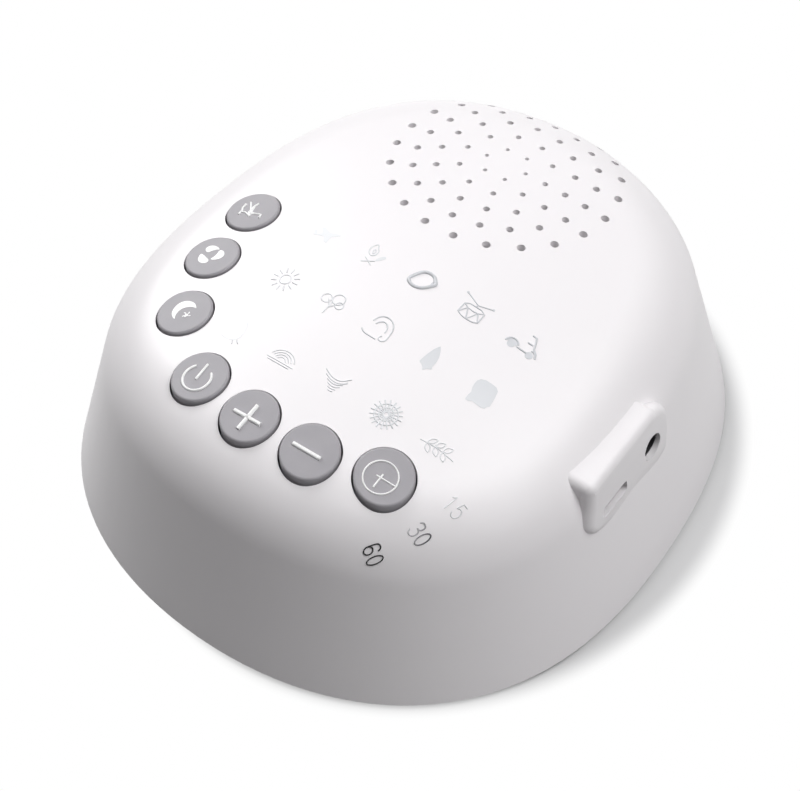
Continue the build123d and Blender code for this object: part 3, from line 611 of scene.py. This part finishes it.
pictograms = {
    # back row
    "aeroplane": {"fills": [
        turn(lens(5.2, 0.9, 0.6), -66, -2.5, -1.1), [(0.9, 0.3), (-0.9, -0.3), (-1.9, 1.1), (-1.3, 1.2)],
        [(0.9, 0.1), (-0.5, -0.4), (0.4, -1.6), (1.0, -1.7)],
        [(-2.3, -1.0), (-1.7, -0.7), (-2.3, 0.1), (-2.7, 0.1)],
    ]},
    "campFire": {
        "smooth": True,
        "loops": [[(-0.7, 0.1), (-1.6, 0.9), (-1.7, 2.0), (-0.9, 3.1), (-0.6, 2.2), (0.1, 1.6), (0.0, 0.5)],
                  [(-0.6, 0.6), (-1.0, 1.3), (-0.7, 1.9), (-0.3, 1.1)]],
        "fills": [[(0.6, -0.4), (1.1, -0.3), (2.0, 0.8), (1.9, 1.3), (1.3, 1.1), (0.8, 0.3)]],
        "lines": [[(-1.3, -1.7), (0.8, -0.5)], [(-1.2, -0.5), (0.7, -1.6)]],
    },
    "fish": {
        "smooth": True, "width": 0.8,
        "loops": [[(-2.5, -0.3), (-2.1, 0.7), (-1.5, 1.9), (-0.7, 2.5), (0.3, 2.6), (1.2, 2.2), (1.7, 1.5),
                   (2.1, 1.1), (1.7, 0.5), (1.1, -0.3), (0.3, -1.0), (-0.8, -1.25), (-1.8, -1.0)]],
        "fills": [[(1.3, 1.6), (2.4, 1.3), (1.7, 0.2), (1.2, 0.6)]],
    },
    "drum": {
        "width": 0.28,
        "loops": [[(-1.95, 0.8), (-1.1, 1.25), (1.1, 1.25), (1.95, 0.8), (1.0, 0.35), (0.0, 0.2),
                   (-1.0, 0.35)]],
        "lines": [[(-1.95, 0.8), (-1.95, -1.15), (-1.0, -1.6), (0.0, -1.75), (1.1, -1.65), (2.0, -1.25),
                   (1.95, 0.8)],
                  [(-1.9, -1.2), (-1.0, 0.35), (0.0, -1.75), (1.0, 0.35), (1.95, -1.25)],
                  [(0.0, 1.75), (-2.75, 2.95)], [(0.3, 1.75), (2.6, 2.5)], [(-0.1, 1.3), (0.2, 1.8)]],
        "fills": [arc(-2.75, 2.95, 0.26, 0, 330, 11), arc(2.6, 2.5, 0.26, 0, 330, 11)],
    },
    "scooter": {
        "width": 0.4,
        "lines": [arc(-1.5, -1.35, 1.15, 180, 20, 8), [(-0.45, -1.3), (1.4, -1.3)],
                  [(3.1, -1.4), (2.8, -0.6), (2.0, 0.1), (1.6, 1.2), (1.15, 2.15), (0.4, 2.2)],
                  [(1.5, 0.6), (0.5, 0.6)], arc(2.0, -1.35, 0.95, 100, 10, 5)],
        "fills": [arc(-1.5, -1.4, 0.68, 0, 345, 23), arc(2.0, -1.4, 0.68, 0, 345, 23),
                  [(-2.6, -1.2), (-2.1, -0.4), (-0.8, -0.4), (-0.5, -1.3)]],
    },
    # middle row
    "sun": {
        "loops": [arc(0, 0, 1.0, 0, 340, 17)],
        "lines": [turn(sunRay, 30 * step) for step in range(12)],
    },
    "tree": {
        "lines": [[(0.0, -2.4), (0.0, 0.2)], [(0.0, -1.0), (1.0, 0.2)], [(0.0, -0.6), (-0.9, 0.5)]],
        "loops": [arc(x, y, radius, 0, 340, 17)
                  for x, y, radius in ((0.7, 1.2, 1.1), (-1.3, 0.5, 0.9), (1.5, 0.2, 0.7))],
    },
    "snail": {"smooth": True, "width": 0.3, "lines": [
        [(-2.1, 0.9), (-1.9, 1.9), (-1.0, 2.7), (0.1, 2.7), (1.1, 2.2), (1.7, 1.1), (1.9, -0.2), (1.9, -1.4),
         (1.1, -1.9), (0.5, -1.3), (0.9, -0.8)],
        [(-1.4, 0.6), (-1.0, 1.6), (0.1, 1.7), (0.9, 0.8), (0.9, -0.1)],
        [(-2.7, -1.3), (-2.3, -1.8), (-1.0, -1.9), (0.4, -1.9)],
    ]},
    "leaf": {"fills": [
        [(-0.25, 3.0), (0.3, 2.2), (0.8, 1.1), (1.0, 0.0), (0.95, -1.0), (1.15, -1.4), (0.45, -1.8),
         (0.0, -2.4), (-0.25, -1.9), (-0.8, -1.5), (-1.3, -1.3), (-1.25, -0.4), (-1.1, 0.6), (-0.8, 1.9),
         (-0.45, 2.7)],
    ]},
    "acorn": {"fills": [
        [(-1.97, 1.1), (-1.65, 1.7), (-0.9, 2.05), (0.1, 2.1), (1.1, 2.05), (1.72, 1.6), (1.97, 0.6),
         (2.15, -0.4), (2.3, -1.4), (1.97, -1.8), (1.85, -2.27), (1.1, -2.5), (-0.4, -2.4), (-0.9, -2.8),
         (-1.5, -2.8), (-1.6, -1.9), (-1.5, -1.15), (-1.85, -0.4), (-1.97, 0.35)],
    ]},
    # front row
    "bird": {
        "fills": [[(0.1, 2.1), (0.6, 1.2), (1.0, 0.0), (1.0, -1.2), (0.4, -2.0), (-0.8, -2.4), (-2.0, -2.2),
                   (-3.3, -1.5), (-2.1, -1.7), (-1.0, -1.3), (-0.2, -0.7), (0.1, 0.1), (0.1, 1.0)]],
        "lines": [[(0.9, -1.8), (1.5, -2.3)], [(0.2, -2.1), (0.6, -2.8)]],
    },
    "shell": {
        "width": 0.22,
        "lines": [arc(0, -1.4, radius, 20, 160, 14, 0.9) for radius in (0.9, 1.4, 1.9, 2.4)]
        + [[(-2.6, -1.5), (2.6, -1.5)], [(-2.2, -1.9), (2.0, -1.9)]],
    },
    "whirl": {"width": 0.24, "smooth": True, "lines": [
        [(-2.9, 1.5), (-1.6, 0.8), (-0.1, 0.65), (0.9, 1.1), (1.7, 2.1)],
        [(-2.3, 0.75), (-1.2, 0.25), (0.0, 0.2), (1.0, 0.5), (1.6, 1.2)],
        [(-1.6, 0.1), (-0.5, -0.25), (0.4, -0.1), (1.2, 0.45)],
        [(-1.1, -0.45), (-0.2, -0.7), (0.5, -0.55), (1.0, -0.1)],
        [(-0.7, -1.0), (0.1, -1.2), (0.7, -0.9)], [(-0.3, -1.5), (0.2, -1.6), (0.5, -1.4)],
    ]},
    "dandelion": {
        "width": 0.3, "lines": [turn(seedStalk, 20 * step) for step in range(18)],
        "loops": [arc(0, 0, 0.45, 0, 330, 11), arc(0, 0, 1.2, 0, 340, 17), arc(0, 0, 1.9, 0, 340, 17)],
    },
    "branch": {
        "width": 0.22, "lines": [[(-3.2, -0.5), (0.0, -0.1), (3.0, -0.4)]],
        "loops": [turn(lens(1.7, 0.8), side * 52 - 90, x, y) for x, y in leafJoints for side in (-1, 1)],
    },
}

foilGrain = {"roughSpread": 0.1, "bump": 0.1, "bumpDepth": 0.00001}


def foil(name, values):
    # silver foil with a painted reflection: a little darker towards the right, and fainter towards the front
    # where asked
    finish = Finish(name)
    place = finish.place()
    across = finish.spread(finish.part(place, "X"), values["fromX"] * mm, values["toX"] * mm)
    if "fromY" in values:
        back = finish.spread(finish.part(place, "Y"), values["fromY"] * mm, values["toY"] * mm, values["least"])
        across = across * back
    brushes = finish.noise(place, values["grainScale"], 2.0)
    tone = finish.mix(across, values["reflectionToneFrom"], values["reflectionToneTo"])
    tone = finish.mix(brushes * values["grainShare"], tone, values["reflectionToneTo"])
    return finish.surface({
        "Base Color": tone, "Metallic": values["metal"],
        "Roughness": brushes * foilGrain["roughSpread"] + values["rough"],
        "Normal": finish.bump(brushes, foilGrain["bump"], foilGrain["bumpDepth"]),
    })


# painted reflection on the pictograms: lighter foil on the left, darker towards the right, fading out towards
# the front
silverFoil = foil("silverFoil", {
    "reflectionToneFrom": (0.80, 0.81, 0.83), "reflectionToneTo": (0.64, 0.65, 0.68), "fromX": -9.0, "toX": 5.0,
    "fromY": -30.0, "toY": -6.0, "least": 0.15, "metal": 0.1, "rough": 0.4, "grainScale": 1500.0,
    "grainShare": 0.12,
})

for number, (drawing, (x, y)) in enumerate(zip(pictograms.values(), gridValues["places"]), 1):
    drawing.setdefault("width", gridValues["width"])
    sign = drawSign(f"pictogram{number:02d}", drawing)
    layOn(sign, "top_shell", x * mm, y * mm)
    finishPiece(sign, silverFoil, "housing")
print("pictograms:", len(pictograms))


# the timer's numbers, each digit drawn with a round nib

digits = {
    "0": {"loops": [arc(0.0, 0.0, 0.6, 0, 350, 35, 2.25)]},
    "1": {"lines": [[(-0.5, 0.72), (-0.15, 0.95), (0.05, 1.36), (0.05, -1.38)]]},
    "3": {"lines": [[(-0.55, 0.85), (-0.45, 1.3), (0.0, 1.42), (0.5, 1.25), (0.55, 0.6), (0.35, 0.2),
                     (-0.1, 0.15)],
                    [(-0.1, 0.15), (0.4, 0.12), (0.68, -0.3), (0.62, -1.0), (0.2, -1.42), (-0.35, -1.35),
                     (-0.6, -0.85)]]},
    "5": {"lines": [[(0.5, 1.3), (-0.35, 1.3)], [(-0.35, 1.3), (-0.52, 0.1)],
                    [(-0.52, 0.1), (-0.2, 0.4), (0.35, 0.35), (0.65, -0.2), (0.6, -0.95), (0.2, -1.4),
                     (-0.35, -1.35), (-0.6, -0.85)]]},
    "6": {"loops": [arc(0.0, -0.62, 0.6, 0, 350, 35, 1.25)],
          "lines": [[(-0.6, -0.62), (-0.62, 0.4), (-0.45, 1.15), (0.0, 1.42), (0.45, 1.3), (0.58, 0.85)]]},
}
# each number is silver foil with a painted reflection: the 60 is painted near black, the 30 runs from light
# grey on the left to near black on the right, and the 15 is light grey that darkens a little to the right
numberValues = {
    "60": {"x": 25.88, "y": -45.28, "angle": -32.0, "lean": -0.19, "reflectionToneFrom": (0.012, 0.012, 0.014),
           "reflectionToneTo": (0.015, 0.015, 0.016)},
    "30": {"x": 30.24, "y": -39.48, "angle": -17.0, "lean": 0.0, "reflectionToneFrom": (0.62, 0.61, 0.63),
           "reflectionToneTo": (0.10, 0.10, 0.11)},
    "15": {"x": 32.32, "y": -33.37, "angle": -7.0, "lean": 0.07, "reflectionToneFrom": (0.80, 0.80, 0.82),
           "reflectionToneTo": (0.72, 0.72, 0.74)},
}
digitValues = {"nib": 0.28, "step": 1.78, "reflectionFadeReach": 1.5}

for text, values in numberValues.items():
    parts = []
    for number, digit in enumerate(text):
        part = drawSign("number" + text, {"width": digitValues["nib"], "smooth": True, **digits[digit]})
        part.data.transform(Matrix.Translation(((number - 0.5) * digitValues["step"] * mm, 0.0, 0.0)))
        parts.append(part)
    makeActive(parts)
    bpy.ops.object.join()
    sign = bpy.context.view_layer.objects.active
    sign.name = "number" + text
    layOn(sign, "top_shell", values["x"] * mm, values["y"] * mm, values["angle"], values["lean"])
    # the painted reflection fades across each number along X, over this reach either side of its middle
    reach = digitValues["reflectionFadeReach"]
    digitFoilPaintedReflection = foil("number" + text, {
        "reflectionToneFrom": values["reflectionToneFrom"], "reflectionToneTo": values["reflectionToneTo"], "fromX": values["x"] - reach,
        "toX": values["x"] + reach, "metal": 0.1, "rough": 0.35, "grainScale": 1500.0, "grainShare": 0.1,
    })
    finishPiece(sign, digitFoilPaintedReflection, "housing")
print("numbers:", len(numberValues))


# room: pale floor with a painted shadow at the object's right edge, soft studio lamps, camera

# painted shadow: inside an ellipse round the object, its middle shifted 5.5 mm towards +X, the floor keeps the
# grey seen tone and fades to white glow from whiteFrom to whiteTo, so a grey band is painted along the right
# and front-right edges on top of the lamps' real shadows; bounced is the floor's tone for diffuse light
floorValues = {
    "size": 6.0, "seen": (0.70, 0.70, 0.705), "bounced": (0.24, 0.235, 0.24), "middle": (5.5, 0.5),
    "halfAcross": 54.0, "halfAlong": 59.5, "whiteFrom": 0.975, "whiteTo": 1.06, "speckle": 300.0,
    "roughSpread": 0.05, "rough": 0.9,
}
clearSelection()
bpy.ops.mesh.primitive_plane_add(size=floorValues["size"], location=(0.0, 0.0, 0.0))
floor = bpy.context.view_layer.objects.active
floor.name = "studioFloor"
ground = Finish("studioFloor")
path = ground.add("LightPath", {}, {}, "Is Camera Ray")
gloss = ground.add("LightPath", {}, {}, "Is Glossy Ray")
through = ground.add("LightPath", {}, {}, "Is Transmission Ray")
seen = path + gloss + through
spot = ground.place()
middleX, middleY = floorValues["middle"]
across = (ground.part(spot, "X") - middleX * mm) / (floorValues["halfAcross"] * mm)
along = (ground.part(spot, "Y") - middleY * mm) / (floorValues["halfAlong"] * mm)
reach = (across * across + along * along) ** 0.5
speckle = ground.noise(spot, floorValues["speckle"], 2.0)
tone = ground.mix(seen, floorValues["bounced"], floorValues["seen"])
paper = ground.add("BsdfPrincipled", {}, {
    "Base Color": tone, "Roughness": speckle * floorValues["roughSpread"] + floorValues["rough"],
    "Specular IOR Level": 0.0,
})
glow = ground.add("Emission", {}, {"Color": (1.0, 1.0, 1.0, 1.0), "Strength": 1.0})
# painted shadow mask: only inside the shifted ellipse does the camera see the grey paper; beyond it the floor
# glows white
outside = ground.spread(reach, floorValues["whiteFrom"], floorValues["whiteTo"]) * seen
both = ground.add("MixShader", {}, {0: outside, 1: paper, 2: glow})
ground.add("OutputMaterial", {}, {"Surface": both})
floor.data.materials.append(ground.material)

roomValues = {"ambient": (0.0, 0.0, 0.0), "seen": (1.0, 1.0, 1.0)}
world = bpy.data.worlds.new("room")
bpy.context.scene.world = world
world.use_nodes = True
room = Finish("room", world.node_tree)
seen = room.add("LightPath", {}, {}, "Is Camera Ray")
colour = room.mix(seen, roomValues["ambient"], roomValues["seen"])
sky = room.add("Background", {}, {"Color": colour, "Strength": 1.0})
room.add("OutputWorld", {}, {"Surface": sky})

lampValues = {
    "backLamp": {"place": (0.329, 0.190, 0.816), "size": 0.5, "power": 4.05},
    "leftLamp": {"place": (-0.712, 0.191, 0.516), "size": 0.5, "power": 5.0},
    "backLeftLamp": {"place": (-0.329, 0.190, 0.816), "size": 0.5, "power": 1.2},
    "frontLamp": {"place": (0.0, -0.380, 0.816), "size": 0.5, "power": 0.8},
    "rightLamp": {"place": (0.709, 0.0, 0.554), "size": 0.5, "power": 2.0},
}
lampTarget = Vector((0.0, 0.0, 0.02))
for name, values in lampValues.items():
    lamp = bpy.data.lights.new(name, "AREA")
    lamp.shape = "SQUARE"
    lamp.size = values["size"]
    lamp.energy = values["power"]
    holder = bpy.data.objects.new(name, lamp)
    holder.location = values["place"]
    holder.rotation_euler = (lampTarget - holder.location).to_track_quat("-Z", "Y").to_euler()
    bpy.context.scene.collection.objects.link(holder)
print("room and lamps ready")

cameraValues = {
    "place": (0.10164, -0.13881, 0.21657), "target": (0.0, -0.0006, 0.0212), "lens": 66.044,
    "shiftX": -0.013645, "shiftY": -0.077023, "near": 0.01, "far": 20.0,
}
camera = bpy.data.objects.new("camera", bpy.data.cameras.new("camera"))
camera.data.lens = cameraValues["lens"]
camera.data.shift_x = cameraValues["shiftX"]
camera.data.shift_y = cameraValues["shiftY"]
camera.data.clip_start = cameraValues["near"]
camera.data.clip_end = cameraValues["far"]
camera.location = cameraValues["place"]
look = Vector(cameraValues["target"]) - camera.location
camera.rotation_euler = look.to_track_quat("-Z", "Y").to_euler()
bpy.context.scene.collection.objects.link(camera)
bpy.context.scene.camera = camera
bpy.context.scene.view_settings.view_transform = "Standard"

print("pieces ready")
